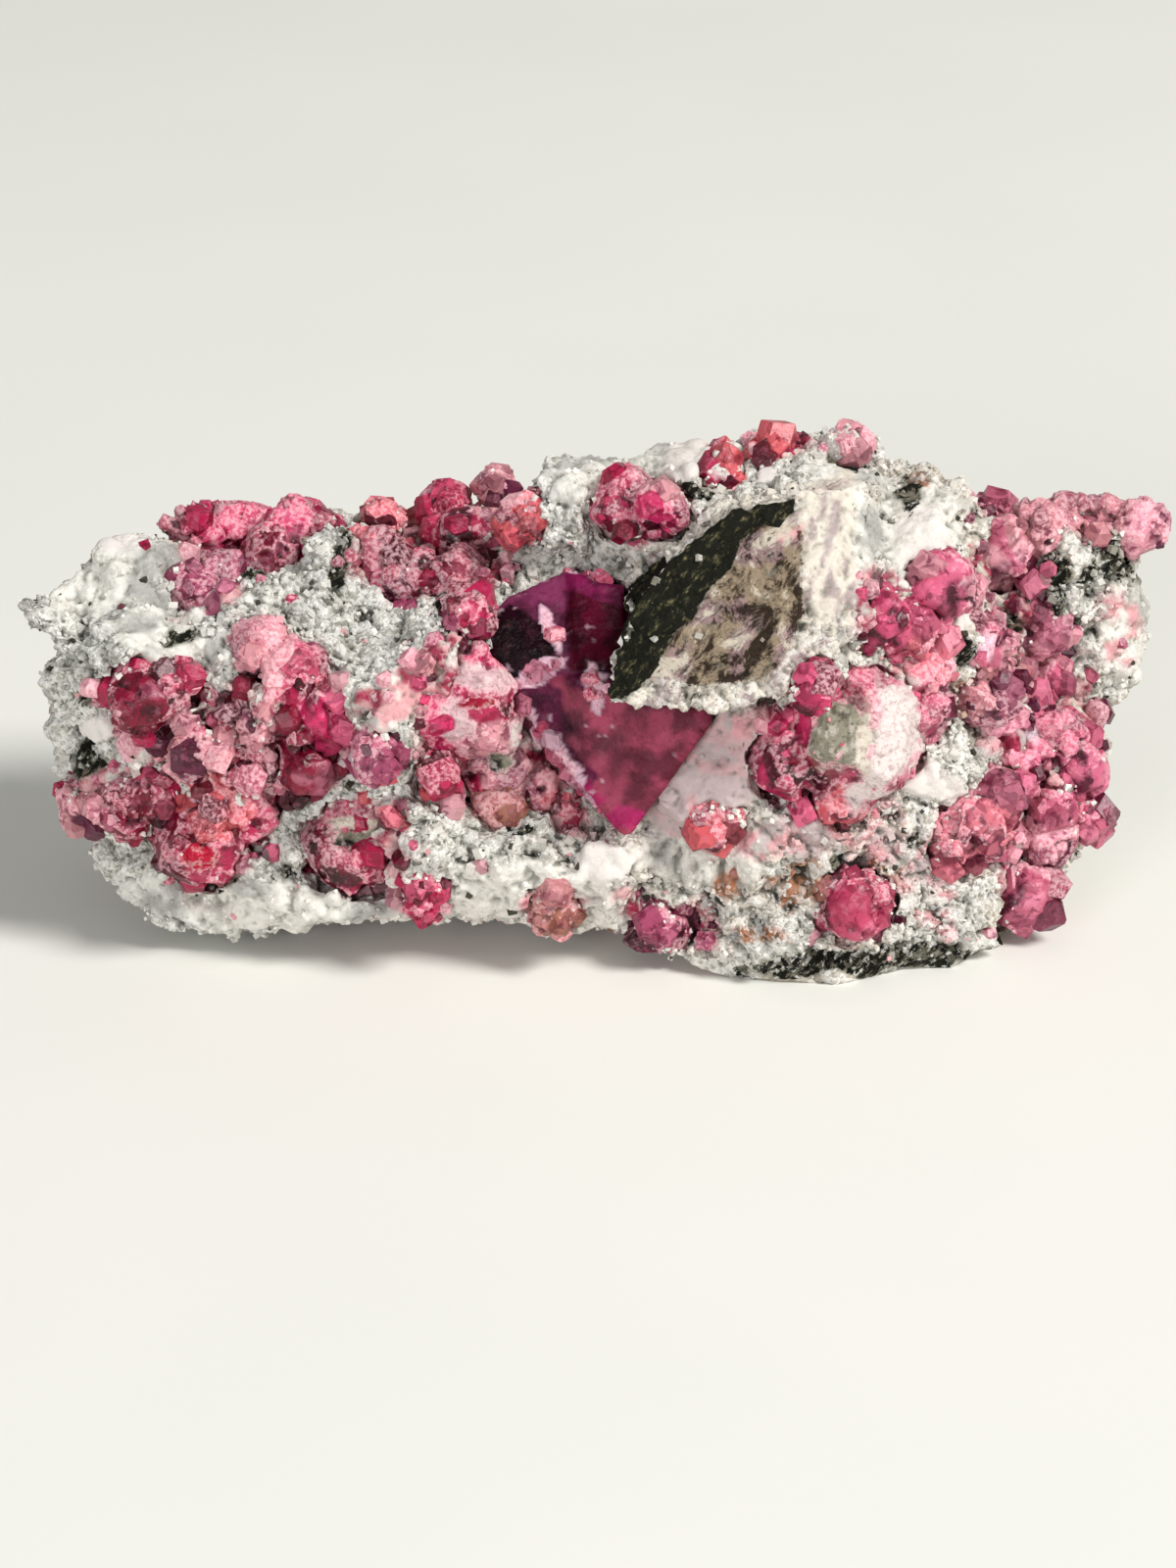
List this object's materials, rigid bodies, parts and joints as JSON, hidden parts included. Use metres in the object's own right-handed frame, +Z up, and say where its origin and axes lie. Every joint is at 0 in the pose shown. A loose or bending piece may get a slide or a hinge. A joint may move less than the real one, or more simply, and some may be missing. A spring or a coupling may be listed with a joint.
{
  "type": "garnet on matrix mineral specimen",
  "caption": "Rough hand specimen: raspberry-red garnet crystals seated in a long, pale, granular matrix rock with a flat base to rest on.",
  "frame": {"origin": "below the middle of the specimen's outline, level with the flat base that it rests on", "axes": "+X along the specimen's length towards the overhanging arm, +Y to its back, +Z up"},
  "size_m": [0.0946, 0.0438, 0.0406],
  "materials": {
    "matrix_rock": "rough, sugary pale rock with grey, cream and dark green-black patches",
    "raspberry_garnet": "raspberry-red crystal, half clear, with a frosted pink crust",
    "wine_garnet": "deep wine-red crystal with smooth, lightly etched faces"
  },
  "bodies": {
    "root": {"garnet_back_1": "raspberry_garnet", "garnet_back_10": "raspberry_garnet", "garnet_back_2": "raspberry_garnet", "garnet_back_3": "raspberry_garnet", "garnet_back_4": "raspberry_garnet", "garnet_back_5": "raspberry_garnet", "garnet_back_6": "raspberry_garnet", "garnet_back_7": "raspberry_garnet", "garnet_crest_1": "raspberry_garnet", "garnet_crest_3": "raspberry_garnet", "garnet_crest_4": "raspberry_garnet", "garnet_crest_5": "raspberry_garnet", "garnet_foot_1": "raspberry_garnet", "garnet_foot_2": "raspberry_garnet", "garnet_foot_3": "raspberry_garnet", "garnet_foot_4": "raspberry_garnet", "garnet_foot_5": "raspberry_garnet", "garnet_foot_6": "raspberry_garnet", "garnet_left_face_1": "raspberry_garnet", "garnet_left_face_10": "raspberry_garnet", "garnet_left_face_11": "raspberry_garnet", "garnet_left_face_13": "raspberry_garnet", "garnet_left_face_15": "raspberry_garnet", "garnet_left_face_7": "raspberry_garnet", "garnet_left_foot_2": "raspberry_garnet", "garnet_middle_left_1": "raspberry_garnet", "garnet_middle_left_2": "raspberry_garnet", "garnet_middle_left_5": "raspberry_garnet", "garnet_middle_left_6": "raspberry_garnet", "garnet_middle_left_8": "raspberry_garnet", "garnet_middle_left_9": "raspberry_garnet", "garnet_ridge_1": "raspberry_garnet", "garnet_ridge_2": "raspberry_garnet", "garnet_ridge_4": "raspberry_garnet", "garnet_right_end_1": "raspberry_garnet", "garnet_right_end_5": "raspberry_garnet", "garnet_right_end_6": "raspberry_garnet", "garnet_right_end_8": "raspberry_garnet", "garnet_right_face_1": "raspberry_garnet", "garnet_right_face_10": "raspberry_garnet", "garnet_right_face_2": "raspberry_garnet", "garnet_right_face_4": "raspberry_garnet", "garnet_right_face_6": "raspberry_garnet", "garnet_right_face_7": "raspberry_garnet", "garnet_right_face_8": "raspberry_garnet", "garnet_right_face_9": "raspberry_garnet", "garnet_shoulder_1": "raspberry_garnet", "garnet_top_left_1": "raspberry_garnet", "garnet_top_left_3": "raspberry_garnet", "garnet_top_left_5": "raspberry_garnet", "great_garnet": "wine_garnet", "matrix_rock": "matrix_rock"}
  },
  "joints": []
}
